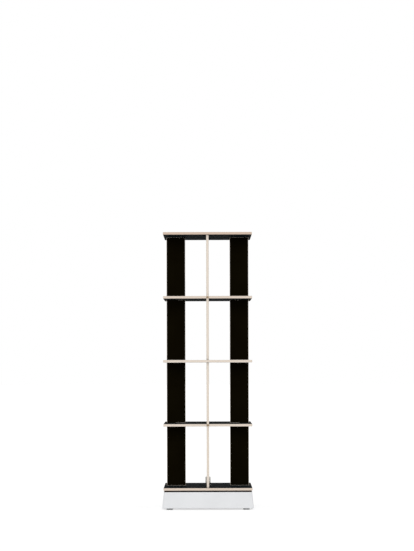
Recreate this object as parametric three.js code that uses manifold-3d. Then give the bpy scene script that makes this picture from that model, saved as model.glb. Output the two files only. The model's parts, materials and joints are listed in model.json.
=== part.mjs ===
// A revolving book tower with four open sides. Five square boards of black-faced birch plywood are
// joined by a narrow upright panel in the middle of each side, and the tower turns on a ball race
// over a white steel plinth. Millimetres, +Z up. The origin is on the floor, in the middle of the
// footprint, and the front faces -Y.

import * as THREE from "three";
import { mergeVertices } from "three/addons/utils/BufferGeometryUtils.js";
import Module from "manifold-3d";

const wasm = await Module();
wasm.setup();

// Boards
const boardSide = 470;
const boardThickness = 13;
const boardCorner = 3;
const tierClear = 325;
const arris = 1;

// Upright panels, which stand behind the boards' edges and leave the middle of the tower open
const panelWidth = 101;
const panelInset = 14;
const panelArris = 1.5;
const panelFaceCorner = 0.5;

// Plinth, a flared steel skirt round a plywood deck on four corner blocks
const plinthTopSide = 467;
const plinthBottomSide = 483;
const plinthHeight = 86;
const plinthCorner = 5;
const plinthSheet = 2;
const plinthFlange = 22;
const deckThickness = 18;
const blockSide = 56;

// Feet, each a glide with its own threaded stud
const footHeight = 8.5;
const footDiameter = 34;
const footEdge = 1.5;
const footInset = 38.5;
const footStudDiameter = 8;
const footStudGrip = 25;

// Ball race
const raceHeight = 8;
const raceDiameter = 180;
const ringThickness = 2.7;
const ringShortSide = 10;
const ringLongSide = 20;
const ballDiameter = 5;
const ballCount = 18;
const cageThickness = 1.2;
const cageWidth = 14;

// Pivot bolt and what it carries
const boltDiameter = 16;
const boltFlangeDiameter = 34;
const boltFlangeThickness = 3;
const boltHeadHeight = 10;
const hexFlats = 24;
const bushWall = 3;
const bushFlangeDiameter = 36;
const bushFlangeThickness = 2;
const washerDiameter = 30;
const washerThickness = 3;
const nutHeight = 8;
const capDiameter = 28;
const capHeight = 33;
const capEdge = 2;
const capBoltDepth = 20;

// Dowels and screws
const dowelDiameter = 6;
const dowelGrip = 15;
const dowelBoardDepth = 8.5;
const dowelBevel = 0.8;
const panelScrewShank = 5;
const panelScrewHead = 9;
const panelScrewLength = 55;
const crossingScrewShank = 5;
const crossingScrewHeadHeight = 4;
const crossingScrewHeadEdge = 0.8;
const crossingScrewLength = 75;
const raceScrewShank = 4;
const raceScrewHead = 7.6;
const raceScrewDeckGrip = 12;
const raceScrewBoardGrip = 8.5;
const raceScrewFromRim = 5;
const screwPoint = 3;
const accessHoleDiameter = 12;

// The gap that every piece keeps to what it seats on or turns in
const fit = 0.3;
// How far a cutter runs past the face that it opens
const overrun = 5;

// Facets of a round
const cornerFacets = 3;
const hexFacets = 6;
const smallFacets = 8;
const boltFacets = 20;
const footFacets = 20;
const ringFacets = 48;
const grooveFacets = 4;
const edgeFacets = 3;
const ballFacets = 8;
const ballRings = 5;

// Heights, from the floor up
const plinthBase = footHeight;
const plinthTop = plinthBase + plinthHeight;
const deckBase = plinthTop - deckThickness;
const boardPitch = tierClear + boardThickness;
const boardBase = (index) => plinthTop + raceHeight + index * boardPitch;
const bottomBoardTop = boardBase(0) + boardThickness;

// Distances from the tower's axis
const boardHalf = boardSide / 2;
const panelOuter = boardHalf - panelInset;
const panelInner = panelOuter - panelWidth;
const halvingRadius = (panelOuter + panelInner) / 2;
const crossingSeat = panelOuter + fit;
const crossingPoint = crossingSeat - crossingScrewLength;
const raceRadius = raceDiameter / 2;
const footOffset = plinthBottomSide / 2 - footInset;
const panelLength = 2 * tierClear + boardThickness - 2 * fit;
const crossingHeight = tierClear - fit + boardThickness / 2;

// The corners of a panel's outline, and a screw head that sits on the flat of its outer edge
const panelCorner = panelArris + panelFaceCorner;
const crossingScrewHead = boardThickness - 2 * panelArris;

const quarterTurn = Math.PI / 2;
const eighthTurn = quarterTurn / 2;
const sides = ["front", "right", "back", "left"];
const corners = ["front_left", "front_right", "back_right", "back_left"];

// Finishes, as the colour, roughness and metalness of a standard material
const blackLaminate = { color: 0x17191c, roughness: 0.55, metalness: 0 };
const birch = { color: 0xe2d0bd, roughness: 0.6, metalness: 0 };
const beech = { color: 0xc9a27a, roughness: 0.65, metalness: 0 };
const brownFilm = { color: 0x3b2a20, roughness: 0.5, metalness: 0 };
const whiteSteel = { color: 0xe6e8ea, roughness: 0.45, metalness: 0 };
const zincSteel = { color: 0xb8bbbd, roughness: 0.35, metalness: 1 };
const bronzedSteel = { color: 0x8a7258, roughness: 0.45, metalness: 1 };
const blackenedSteel = { color: 0x2d2c2b, roughness: 0.5, metalness: 1 };
const paleNylon = { color: 0xdcd8cf, roughness: 0.5, metalness: 0 };
const blackNylon = { color: 0x2a2a2c, roughness: 0.5, metalness: 0 };
const greyRubber = { color: 0x45474a, roughness: 0.8, metalness: 0 };

// Turning a geometry into a solid that can be cut, and back again
function solidOf(geometry) {
  const bare = geometry.clone();
  bare.deleteAttribute("normal");
  bare.deleteAttribute("uv");
  const merged = mergeVertices(bare);
  const mesh = new wasm.Mesh({
    numProp: 3,
    vertProperties: merged.attributes.position.array,
    triVerts: new Uint32Array(merged.index.array),
  });
  return new wasm.Manifold(mesh);
}

function geometryOf(solid) {
  const { vertProperties, triVerts } = solid.getMesh();
  const geometry = new THREE.BufferGeometry();
  geometry.setAttribute("position", new THREE.Float32BufferAttribute(vertProperties, 3));
  geometry.setIndex(new THREE.Uint32BufferAttribute(triVerts, 1));
  geometry.computeVertexNormals();
  return geometry;
}

function cut(geometry, cutters) {
  let solid = solidOf(geometry);
  for (const cutter of cutters) solid = solid.subtract(solidOf(cutter));
  return geometryOf(solid);
}

function join(geometries) {
  const [first, ...others] = geometries.map(solidOf);
  return geometryOf(others.reduce((whole, other) => whole.add(other), first));
}

// Copies of a geometry, turned about the tower's axis by quarter turns
function onFourSides(geometry, firstTurn = 0) {
  return sides.map((side, index) => geometry.clone().rotateZ(firstTurn + index * quarterTurn));
}

// Outlines and simple bodies
function rectangle(left, right, low, high, radius) {
  const outline = new THREE.Shape();
  outline.absarc(right - radius, high - radius, radius, 0, quarterTurn);
  outline.absarc(left + radius, high - radius, radius, quarterTurn, 2 * quarterTurn);
  outline.absarc(left + radius, low + radius, radius, 2 * quarterTurn, 3 * quarterTurn);
  outline.absarc(right - radius, low + radius, radius, 3 * quarterTurn, 4 * quarterTurn);
  return outline;
}

function square(half, radius) {
  return rectangle(-half, half, -half, half, radius);
}

// A plate from z = 0 up, bevelled round both faces
function bevelledPlate(outline, thickness, bevel = arris) {
  const plate = new THREE.ExtrudeGeometry(outline, {
    depth: thickness - 2 * bevel,
    bevelThickness: bevel,
    bevelSize: bevel,
    bevelOffset: -bevel,
    bevelSegments: 1,
    curveSegments: cornerFacets,
  });
  return plate.translate(0, 0, bevel);
}

function sharpPlate(outline, thickness) {
  return new THREE.ExtrudeGeometry(outline, {
    depth: thickness,
    bevelEnabled: false,
    curveSegments: cornerFacets,
  });
}

// A box between two corners
function box(low, high) {
  const size = high.map((value, axis) => value - low[axis]);
  const middle = high.map((value, axis) => (value + low[axis]) / 2);
  return new THREE.BoxGeometry(...size).translate(...middle);
}

// A body of revolution about Z, from points of radius and height that run up the outside
function turned(profile, facets) {
  const points = profile.map(([radius, height]) => new THREE.Vector2(radius, height));
  return new THREE.LatheGeometry(points, facets).rotateX(quarterTurn);
}

// The section of a flat ring, closed on itself
function washerProfile(inner, outer, low, high) {
  return [[inner, low], [outer, low], [outer, high], [inner, high], [inner, low]];
}

function rod(radius, low, high, facets) {
  return turned([[0, low], [radius, low], [radius, high], [0, high]], facets);
}

// The radius of a faceted bore whose flats clear a shaft by the fit
function boreRadius(shaftDiameter, facets) {
  return (shaftDiameter / 2 + fit) / Math.cos(Math.PI / facets);
}

// A cutter for the bore of such a shaft, between two heights
function bore(shaftDiameter, low, high, facets) {
  return rod(boreRadius(shaftDiameter, facets), low, high, facets);
}

function hexagon(flats, low, high) {
  const radius = flats / 2 / Math.cos(Math.PI / hexFacets);
  return rod(radius, low, high, hexFacets);
}

// A countersunk screw along Z, its flat head at z = 0 and its point down
function screw(headDiameter, shankDiameter, length) {
  const head = headDiameter / 2;
  const shank = shankDiameter / 2;
  const profile = [
    [0, -length],
    [shank, screwPoint - length],
    [shank, shank - head],
    [head, 0],
    [0, 0],
  ];
  return turned(profile, smallFacets);
}

// The screw that holds a panel in a shelf's slot, along Z with its head up and seated at z = 0
function crossingScrew() {
  const head = crossingScrewHead / 2;
  const shank = crossingScrewShank / 2;
  const profile = [
    [0, -crossingScrewLength],
    [shank, screwPoint - crossingScrewLength],
    [shank, 0],
    [head, 0],
    [head, crossingScrewHeadHeight - crossingScrewHeadEdge],
    [head - crossingScrewHeadEdge, crossingScrewHeadHeight],
    [0, crossingScrewHeadHeight],
  ];
  return turned(profile, boltFacets);
}

// The pilot hole and countersink of a countersunk screw
function screwHole(headDiameter, shankDiameter, length) {
  const head = boreRadius(headDiameter, smallFacets);
  const shank = boreRadius(shankDiameter, smallFacets);
  const bottom = -length - fit;
  const profile = [
    [0, bottom],
    [shank, bottom],
    [shank, shank - head],
    [head, 0],
    [head, overrun],
    [0, overrun],
  ];
  return turned(profile, smallFacets);
}

function pointingUp(geometry) {
  return geometry.rotateX(2 * quarterTurn);
}

// A cutter for a dowel, from one height to another, at a distance towards the front
function dowelHole(distance, low, high) {
  return bore(dowelDiameter, low, high, smallFacets).translate(0, -distance, 0);
}

// A cutter for the screw through a crossing, from one distance towards the front to another, at a height
function crossingHole(near, far, height) {
  return bore(crossingScrewShank, near, far, smallFacets).rotateX(quarterTurn).translate(0, 0, height);
}

// Boards

function plainBoard() {
  return bevelledPlate(square(boardHalf, boardCorner), boardThickness);
}

function topBoard() {
  const hole = dowelHole(halvingRadius, -overrun, dowelBoardDepth + fit);
  return cut(plainBoard(), onFourSides(hole));
}

// The upper and lower shelves have an open slot in the middle of each edge, which takes a panel, and a
// hole in the slot's end for the screw that holds the panel there
function slottedShelf() {
  const slotHalf = boardThickness / 2 + fit;
  const slotEnd = halvingRadius - fit / 2;
  const slot = box(
    [-slotHalf, -boardHalf - overrun, -overrun],
    [slotHalf, -slotEnd, boardThickness + overrun],
  );
  const hole = crossingHole(crossingPoint - fit, slotEnd + overrun, boardThickness / 2);
  return cut(plainBoard(), [...onFourSides(slot), ...onFourSides(hole)]);
}

function middleShelf() {
  return cut(plainBoard(), onFourSides(dowelHole(halvingRadius, -overrun, boardThickness + overrun)));
}

const bushRadius = boltDiameter / 2 + fit + bushWall;
const upperRimRadius = raceRadius + ringLongSide;
const lowerRimRadius = raceRadius - ringLongSide;
const upperScrewRadius = upperRimRadius - raceScrewFromRim;
const lowerScrewRadius = lowerRimRadius + raceScrewFromRim;
const upperRaceScrewLength = ringThickness + fit + raceScrewBoardGrip;
const lowerRaceScrewLength = ringThickness + fit + raceScrewDeckGrip;

function bottomBoard() {
  const bushHole = bore(2 * bushRadius, -overrun, boardThickness + overrun, boltFacets);
  const panelScrewHole = pointingUp(screwHole(panelScrewHead, panelScrewShank, panelScrewLength));
  const screwHoles = onFourSides(panelScrewHole.translate(0, -halvingRadius, fit));
  const raceHole = bore(raceScrewShank, -overrun, raceScrewBoardGrip + fit, smallFacets);
  const raceHoles = onFourSides(raceHole.translate(0, -upperScrewRadius, 0), eighthTurn);
  return cut(plainBoard(), [bushHole, ...screwHoles, ...raceHoles]);
}

// Panels, drawn as distance from the axis against height and stood up on the front side

const standingOnFront = new THREE.Matrix4().makeBasis(
  new THREE.Vector3(0, -1, 0),
  new THREE.Vector3(0, 0, 1),
  new THREE.Vector3(-1, 0, 0),
);

// A panel is two tiers high and slotted from its inner edge where it crosses a slotted shelf, with a hole
// from its outer edge to that slot
function panel(endHoles) {
  const outline = rectangle(panelInner, panelOuter, 0, panelLength, panelCorner);
  const plate = bevelledPlate(outline, boardThickness, panelArris).translate(0, 0, -boardThickness / 2);
  const slotLow = tierClear - 2 * fit;
  const slotHigh = slotLow + boardThickness + 2 * fit;
  const slot = box(
    [-boardThickness, -halvingRadius - fit / 2, slotLow],
    [boardThickness, -panelInner + overrun, slotHigh],
  );
  const hole = crossingHole(halvingRadius - overrun, panelOuter + overrun, crossingHeight);
  return cut(plate.applyMatrix4(standingOnFront), [slot, hole, ...endHoles]);
}

function upperPanel() {
  return panel([
    dowelHole(halvingRadius, -overrun, dowelGrip),
    dowelHole(halvingRadius, panelLength - dowelGrip, panelLength + overrun),
  ]);
}

function lowerPanel() {
  const pilotDepth = panelScrewLength - boardThickness;
  const pilot = bore(panelScrewShank, -overrun, pilotDepth + fit, smallFacets);
  return panel([
    pilot.translate(0, -halvingRadius, 0),
    dowelHole(halvingRadius, panelLength - dowelGrip, panelLength + overrun),
  ]);
}

function dowel(length) {
  const radius = dowelDiameter / 2;
  const tip = radius - dowelBevel;
  const profile = [
    [0, 0],
    [tip, 0],
    [radius, dowelBevel],
    [radius, length - dowelBevel],
    [tip, length],
    [0, length],
  ];
  return turned(profile, smallFacets);
}

// Plinth

// Half the outer side of the skirt at a height above its base
function skirtHalf(height) {
  return (plinthBottomSide + (plinthTopSide - plinthBottomSide) * (height / plinthHeight)) / 2;
}

// Half the side of an upright block that fits inside the skirt between two heights above its base
function insideHalf(low, high) {
  return Math.min(skirtHalf(low), skirtHalf(high)) - plinthSheet - fit;
}

// A square block whose four sides lean in, between two heights above the plinth's base
function leaningBlock(inset, low, high) {
  const foot = skirtHalf(low) - inset;
  const head = skirtHalf(high) - inset;
  const block = sharpPlate(square(foot, plinthCorner), high - low);
  const places = block.attributes.position;
  for (let i = 0; i < places.count; i += 1) {
    const share = places.getZ(i) / (high - low);
    const scale = 1 + (head / foot - 1) * share;
    places.setXY(i, places.getX(i) * scale, places.getY(i) * scale);
  }
  return block.translate(0, 0, low);
}

const blockOuter = insideHalf(plinthSheet, deckBase - plinthBase);
const blockInner = blockOuter - blockSide;
const blockHeight = deckBase - plinthBase - plinthSheet - 2 * fit;

// The opening in the plinth's floor, whose edge runs across each corner just clear of the block there
function floorOpening() {
  const half = skirtHalf(0) - plinthSheet - plinthFlange;
  const across = 2 * blockInner - half;
  const outline = new THREE.Shape();
  outline.moveTo(half, -across);
  outline.lineTo(half, across);
  outline.lineTo(across, half);
  outline.lineTo(-across, half);
  outline.lineTo(-half, across);
  outline.lineTo(-half, -across);
  outline.lineTo(-across, -half);
  outline.lineTo(across, -half);
  return sharpPlate(outline, plinthSheet + 2 * overrun).translate(0, 0, -overrun);
}

function skirt() {
  const shell = leaningBlock(0, 0, plinthHeight);
  const hollow = leaningBlock(plinthSheet, plinthSheet, plinthHeight + overrun);
  const studHole = bore(footStudDiameter, -overrun, plinthSheet + overrun, smallFacets);
  const studHoles = onFourSides(studHole.translate(-footOffset, -footOffset, 0));
  return cut(shell, [hollow, floorOpening(), ...studHoles]);
}

function deck() {
  const half = insideHalf(plinthHeight - deckThickness, plinthHeight);
  const boltHole = bore(boltDiameter, -overrun, deckThickness + overrun, boltFacets);
  const accessHole = rod(accessHoleDiameter / 2, -overrun, deckThickness + overrun, smallFacets);
  const accessHoles = onFourSides(accessHole.translate(0, -upperScrewRadius, 0), eighthTurn);
  const pilotBottom = deckThickness - raceScrewDeckGrip - fit;
  const pilot = bore(raceScrewShank, pilotBottom, deckThickness + overrun, smallFacets);
  const pilots = onFourSides(pilot.translate(0, -lowerScrewRadius, 0));
  return cut(bevelledPlate(square(half, plinthCorner), deckThickness), [boltHole, ...accessHoles, ...pilots]);
}

// A block stands in the front left corner; the others are the same block turned
function cornerBlock() {
  const outline = rectangle(-blockOuter, -blockInner, -blockOuter, -blockInner, plinthCorner);
  const studHole = bore(footStudDiameter, -overrun, footStudGrip + fit, smallFacets);
  const hole = studHole.translate(-footOffset, -footOffset, 0);
  return cut(bevelledPlate(outline, blockHeight), [hole]);
}

function foot() {
  const radius = footDiameter / 2;
  const stud = footStudDiameter / 2;
  const top = footHeight - fit;
  const studTop = plinthBase + plinthSheet + fit + footStudGrip;
  const profile = [
    [0, 0],
    [radius - footEdge, 0],
    [radius, footEdge],
    [radius, top - footEdge],
    [radius - footEdge, top],
    [stud, top],
    [stud, studTop],
    [0, studTop],
  ];
  return turned(profile, footFacets).translate(-footOffset, -footOffset, 0);
}

// Ball race, two flat rings with a round groove each; the balls' middle is at z = 0

const ringFar = raceHeight / 2 - fit;
const ringNear = ringFar - ringThickness;

// The points of a groove round the balls, from the larger radius to the smaller
function groove() {
  const radius = ballDiameter / 2 + fit;
  const start = Math.asin(ringNear / radius);
  const points = [];
  for (let i = 0; i <= grooveFacets; i += 1) {
    const angle = start + ((Math.PI - 2 * start) * i) / grooveFacets;
    points.push([raceRadius + radius * Math.cos(angle), radius * Math.sin(angle)]);
  }
  return points;
}

// The upper ring's section turned round: the groove looks down and the flat face up
function ring(inner, outer) {
  const profile = [
    [inner, ringNear],
    ...groove().reverse(),
    [outer, ringNear],
    [outer, ringFar],
    [inner, ringFar],
    [inner, ringNear],
  ];
  return turned(profile, ringFacets);
}

// The upper ring reaches further out and the lower one further in, clear of each other's screws
function upperRing() {
  const hole = pointingUp(screwHole(raceScrewHead, raceScrewShank, upperRaceScrewLength));
  const holes = onFourSides(hole.translate(0, -upperScrewRadius, ringNear + fit), eighthTurn);
  return cut(ring(raceRadius - ringShortSide, upperRimRadius), holes);
}

function lowerRing() {
  const hole = screwHole(raceScrewHead, raceScrewShank, lowerRaceScrewLength);
  const holes = onFourSides(hole.translate(0, -lowerScrewRadius, -ringNear - fit));
  return cut(pointingUp(ring(lowerRimRadius, raceRadius + ringShortSide)), holes);
}

// The cage holds the balls, which are snapped into it
function ballCage() {
  const inner = raceRadius - cageWidth / 2;
  const outer = raceRadius + cageWidth / 2;
  const half = cageThickness / 2;
  const band = turned(washerProfile(inner, outer, -half, half), ringFacets);
  const balls = [];
  for (let i = 0; i < ballCount; i += 1) {
    const ball = new THREE.SphereGeometry(ballDiameter / 2, ballFacets, ballRings);
    balls.push(ball.translate(raceRadius, 0, 0).rotateZ((i / ballCount) * 4 * quarterTurn));
  }
  return join([band, ...balls]);
}

// Pivot

const bushTop = bottomBoardTop + fit + bushFlangeThickness;
const washerBase = bushTop + fit;
const nutBase = washerBase + washerThickness + fit;
const capBase = nutBase + nutHeight + fit;

// The bolt comes up through the deck; its flanged head is under it
function pivotBolt() {
  const head = hexagon(hexFlats, -boltFlangeThickness - boltHeadHeight, -boltFlangeThickness / 2);
  const flange = rod(boltFlangeDiameter / 2, -boltFlangeThickness, 0, boltFacets);
  const shaftTop = capBase + capBoltDepth - (deckBase - fit);
  const shaft = rod(boltDiameter / 2, -boltFlangeThickness / 2, shaftTop, boltFacets);
  return join([head, flange, shaft]);
}

// The bush is pressed into the bottom board and turns with it round the bolt
function pivotBush() {
  const inner = boreRadius(boltDiameter, boltFacets);
  const rim = bushFlangeDiameter / 2;
  const top = boardThickness + fit + bushFlangeThickness;
  const seat = boardThickness + fit;
  const profile = [
    [inner, 0],
    [bushRadius, 0],
    [bushRadius, seat],
    [rim, seat],
    [rim, top],
    [inner, top],
    [inner, 0],
  ];
  return turned(profile, boltFacets);
}

function pivotWasher() {
  const inner = boreRadius(boltDiameter, boltFacets);
  return turned(washerProfile(inner, washerDiameter / 2, 0, washerThickness), boltFacets);
}

function pivotNut() {
  const throughBore = bore(boltDiameter, -overrun, nutHeight + overrun, boltFacets);
  return cut(hexagon(hexFlats, 0, nutHeight), [throughBore]);
}

// A round cap nut, its upper edge rounded over
function capNut() {
  const radius = capDiameter / 2;
  const profile = [[0, 0], [radius, 0]];
  for (let i = 0; i <= edgeFacets; i += 1) {
    const angle = (quarterTurn * i) / edgeFacets;
    profile.push([
      radius - capEdge * (1 - Math.cos(angle)),
      capHeight - capEdge * (1 - Math.sin(angle)),
    ]);
  }
  profile.push([0, capHeight]);
  const blindBore = bore(boltDiameter, -overrun, capBoltDepth + fit, boltFacets);
  return cut(turned(profile, boltFacets), [blindBore]);
}

// The assembly

function piece(name, geometry, finish, height = 0) {
  const mesh = new THREE.Mesh(geometry, new THREE.MeshStandardMaterial(finish));
  mesh.name = name;
  mesh.position.z = height;
  return mesh;
}

function turnedGroup(turn, pieces) {
  const group = new THREE.Group();
  group.rotation.z = turn;
  group.add(...pieces);
  return group;
}

function boards() {
  return [
    piece("bottom_board", bottomBoard(), blackLaminate, boardBase(0)),
    piece("lower_shelf", slottedShelf(), blackLaminate, boardBase(1)),
    piece("middle_shelf", middleShelf(), blackLaminate, boardBase(2)),
    piece("upper_shelf", slottedShelf(), blackLaminate, boardBase(3)),
    piece("top_board", topBoard(), blackLaminate, boardBase(4)),
  ];
}

const middleDowelBase = boardBase(2) - dowelGrip + fit;
const topDowelBase = boardBase(4) - dowelGrip + fit;

// The screw through a crossing of a front panel and a shelf, at the height of its own axis
function crossingPiece(name, shelf) {
  const body = crossingScrew().rotateX(quarterTurn).translate(0, -crossingSeat, 0);
  return piece(name, body, bronzedSteel, boardBase(shelf) + boardThickness / 2);
}

// One side of the tower: its two panels and what holds them to the five boards
function side(name) {
  const panelScrew = pointingUp(screw(panelScrewHead, panelScrewShank, panelScrewLength));
  const middleDowel = dowel(boardThickness + 2 * dowelGrip - 2 * fit);
  const topDowel = dowel(dowelGrip + dowelBoardDepth - fit);
  for (const fixing of [panelScrew, middleDowel, topDowel]) fixing.translate(0, -halvingRadius, 0);
  return [
    piece(`lower_panel_${name}`, lowerPanel(), blackLaminate, boardBase(0) + boardThickness + fit),
    piece(`upper_panel_${name}`, upperPanel(), blackLaminate, boardBase(2) + boardThickness + fit),
    piece(`panel_screw_${name}`, panelScrew, zincSteel, boardBase(0) + fit),
    crossingPiece(`crossing_screw_${name}_lower`, 1),
    piece(`middle_dowel_${name}`, middleDowel, beech, middleDowelBase),
    crossingPiece(`crossing_screw_${name}_upper`, 3),
    piece(`top_dowel_${name}`, topDowel, beech, topDowelBase),
  ];
}

function plinthCornerPieces(name) {
  return [
    piece(`corner_block_${name}`, cornerBlock(), birch, plinthBase + plinthSheet + fit),
    piece(`foot_${name}`, foot(), greyRubber),
  ];
}

const raceMiddle = plinthTop + raceHeight / 2;

function lowerRaceScrew(number) {
  const body = screw(raceScrewHead, raceScrewShank, lowerRaceScrewLength);
  const seat = raceMiddle - ringNear - fit;
  return piece(`lower_race_screw_${number}`, body.translate(0, -lowerScrewRadius, 0), zincSteel, seat);
}

function upperRaceScrew(number) {
  const body = pointingUp(screw(raceScrewHead, raceScrewShank, upperRaceScrewLength));
  const seat = raceMiddle + ringNear + fit;
  return piece(`upper_race_screw_${number}`, body.translate(0, -upperScrewRadius, 0), zincSteel, seat);
}

const base = new THREE.Group();
base.add(
  piece("plinth_skirt", skirt(), whiteSteel, plinthBase),
  piece("plinth_deck", deck(), brownFilm, deckBase),
  piece("lower_race_ring", lowerRing(), zincSteel, raceMiddle),
  piece("pivot_bolt", pivotBolt(), zincSteel, deckBase - fit),
  piece("pivot_washer", pivotWasher(), blackenedSteel, washerBase),
  piece("pivot_nut", pivotNut(), blackenedSteel, nutBase),
  piece("pivot_cap_nut", capNut(), zincSteel, capBase),
);

const tower = new THREE.Group();
tower.add(
  ...boards(),
  piece("upper_race_ring", upperRing(), zincSteel, raceMiddle),
  piece("pivot_bush", pivotBush(), blackNylon, boardBase(0)),
);

sides.forEach((name, index) => {
  const turn = index * quarterTurn;
  base.add(turnedGroup(turn, plinthCornerPieces(corners[index])));
  base.add(turnedGroup(turn, [lowerRaceScrew(index + 1)]));
  tower.add(turnedGroup(turn, side(name)));
  tower.add(turnedGroup(turn + eighthTurn, [upperRaceScrew(index + 1)]));
});

const bookTower = new THREE.Group();
bookTower.add(base, piece("ball_cage", ballCage(), paleNylon, raceMiddle), tower);

export default bookTower;
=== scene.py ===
"""The looks of a revolving book tower, in metres, with +Z up and the photographed front facing -Y.

Five square boards of black-faced birch plywood are held by a narrow upright panel in the middle of each
side. They turn on a ball race and a pivot bolt over a white plinth of folded steel.
"""

import json
import math

import bpy
from mathutils import Matrix, Vector

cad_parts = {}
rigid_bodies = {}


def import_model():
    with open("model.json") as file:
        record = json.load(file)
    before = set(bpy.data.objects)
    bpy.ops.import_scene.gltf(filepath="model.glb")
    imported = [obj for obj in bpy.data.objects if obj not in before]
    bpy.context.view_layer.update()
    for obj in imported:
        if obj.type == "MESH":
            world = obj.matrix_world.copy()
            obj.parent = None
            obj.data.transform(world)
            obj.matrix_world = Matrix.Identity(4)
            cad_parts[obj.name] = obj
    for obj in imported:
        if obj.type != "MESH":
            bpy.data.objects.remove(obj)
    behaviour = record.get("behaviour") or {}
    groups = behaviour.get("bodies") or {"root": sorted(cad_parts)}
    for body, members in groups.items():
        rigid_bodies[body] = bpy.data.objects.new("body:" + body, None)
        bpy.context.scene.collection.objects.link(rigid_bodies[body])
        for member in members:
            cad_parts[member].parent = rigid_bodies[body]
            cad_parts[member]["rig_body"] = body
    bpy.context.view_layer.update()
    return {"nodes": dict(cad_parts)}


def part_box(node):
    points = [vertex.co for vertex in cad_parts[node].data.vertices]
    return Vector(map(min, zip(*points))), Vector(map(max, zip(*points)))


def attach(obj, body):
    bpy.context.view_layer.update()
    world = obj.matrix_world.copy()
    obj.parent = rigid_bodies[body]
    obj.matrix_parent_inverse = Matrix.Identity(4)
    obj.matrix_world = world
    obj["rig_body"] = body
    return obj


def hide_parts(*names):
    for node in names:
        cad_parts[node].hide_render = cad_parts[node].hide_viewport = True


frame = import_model()

# The photograph's size, its horizon, the tower's axis and the focal length, all in its pixels
FRAME_WIDTH, FRAME_HEIGHT = 414, 551
HORIZON_PX = 363.5
AXIS_PX = 207.7
FOCAL_PX = 1949.2

# The camera's turns, its height over the floor and its distance to the boards' front edges
PITCH = math.radians(0.7)
ROLL = math.radians(0.15)
CAMERA_HEIGHT = 0.773
CAMERA_TO_FRONT = 10.29

SIDES = ("front", "right", "back", "left")
CORNERS = ("front_left", "front_right", "back_right", "back_left")
BOARDS = ("bottom_board", "lower_shelf", "middle_shelf", "upper_shelf", "top_board")
SHELVES_WITH_SLOTS = ("lower_shelf", "upper_shelf")
UPPER_RACE_SCREWS = [f"upper_race_screw_{number}" for number in range(1, 5)]
LOWER_RACE_SCREWS = [f"lower_race_screw_{number}" for number in range(1, 5)]

# Clearances, and how far a cutter runs past the face that it opens
FIT = 0.0003
OVERRUN = 0.005

# The middle of a rounded edge lies this share of its radius in from both its faces
EDGE_CUT = 0.3

# An edge that turns by more than this is shaded sharp
SHARP_ANGLE = math.radians(35)

# Plywood: the facing on it, its veneers, the taken-off arris and the rounded corners
LAMINATE = 0.0002
FILM = 0.0003
VENEER = 0.0014
ARRIS = 0.001
BOARD_CORNER = 0.003
PANEL_ARRIS = 0.0015
PANEL_CORNER = 0.002
PLINTH_CORNER = 0.005
PLINTH_LEAST_CORNER = 0.001

# Plinth skirt of folded sheet
SKIRT_TOP_HALF = 0.2335
SHEET = 0.002
SHEET_EDGE = 0.0006
BEND = 0.0032
FLANGE = 0.022
STUD_HOLE = 0.0043

# Radii of the deck's access holes, the pivot bolt and the feet's studs
ACCESS_HOLE = 0.006
BOLT = 0.008
FOOT_STUD = 0.004

# Screws by kind: radius of the shank, pitch of the thread, and how far under the head it ends
SCREW_SHANKS = {"panel": 0.0025, "crossing": 0.0025, "upper_race": 0.002, "lower_race": 0.002}
SCREW_PITCHES = {"panel": 0.0025, "crossing": 0.0025, "upper_race": 0.0016, "lower_race": 0.0016}
PLAIN_SHANKS = {"panel": 0.016, "crossing": 0.05, "upper_race": 0.004, "lower_race": 0.004}

# Pivot
BUSH = 0.0113
NUT_FLATS = 0.024
BOLT_FLANGE = 0.017
BOLT_FLANGE_THICKNESS = 0.003
CAP_EDGE = 0.002
CAP_BORE_DEPTH = 0.0203
KNURLS = 60
KNURL_DEPTH = 0.0004
KNURL_LOW = 0.005
KNURL_HIGH = 0.024
BOLT_PITCH = 0.002

# Steps of a round, or of a corner, and of one flute or knurl
CORNER_STEPS = 6
RIPPLE_STEPS = 8
HOLE_STEPS = 24
SCREW_STEPS = 24
STUD_STEPS = 36
NUT_STEPS = 72
FOOT_STEPS = 64
RING_STEPS = 128
THREAD_ROWS = 6


# Camera


def make_camera():
    """A camera dead in front that looks up a trace. Its shift does the rest of the framing."""
    data = bpy.data.cameras.new("camera")
    data.lens = data.sensor_width * FOCAL_PX / FRAME_HEIGHT
    data.shift_x = (FRAME_WIDTH / 2 - AXIS_PX) / FRAME_HEIGHT
    axis_row = HORIZON_PX - FOCAL_PX * math.tan(PITCH)
    data.shift_y = (axis_row - FRAME_HEIGHT / 2) / FRAME_HEIGHT
    camera = bpy.data.objects.new("camera", data)
    bpy.context.scene.collection.objects.link(camera)
    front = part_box("top_board")[0].y
    camera.location = (0, front - CAMERA_TO_FRONT, CAMERA_HEIGHT)
    camera.rotation_euler = (math.pi / 2 + PITCH, ROLL, 0)
    bpy.context.scene.camera = camera


make_camera()


# Bodies: points and faces, with a material number for each face


class Body:
    def __init__(self, points, faces, number=0):
        self.points = [Vector(point) for point in points]
        self.faces = faces
        self.numbers = list(number) if hasattr(number, "__iter__") else [number] * len(faces)

    def moved(self, matrix):
        return Body([matrix @ point for point in self.points], self.faces, self.numbers)

    def at(self, x=0.0, y=0.0, z=0.0):
        return self.moved(Matrix.Translation((x, y, z)))

    def __add__(self, other):
        start = len(self.points)
        faces = [[index + start for index in face] for face in other.faces]
        return Body(self.points + other.points, self.faces + faces, self.numbers + other.numbers)


def together(bodies):
    first, *others = bodies
    return sum(others, first)


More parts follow.
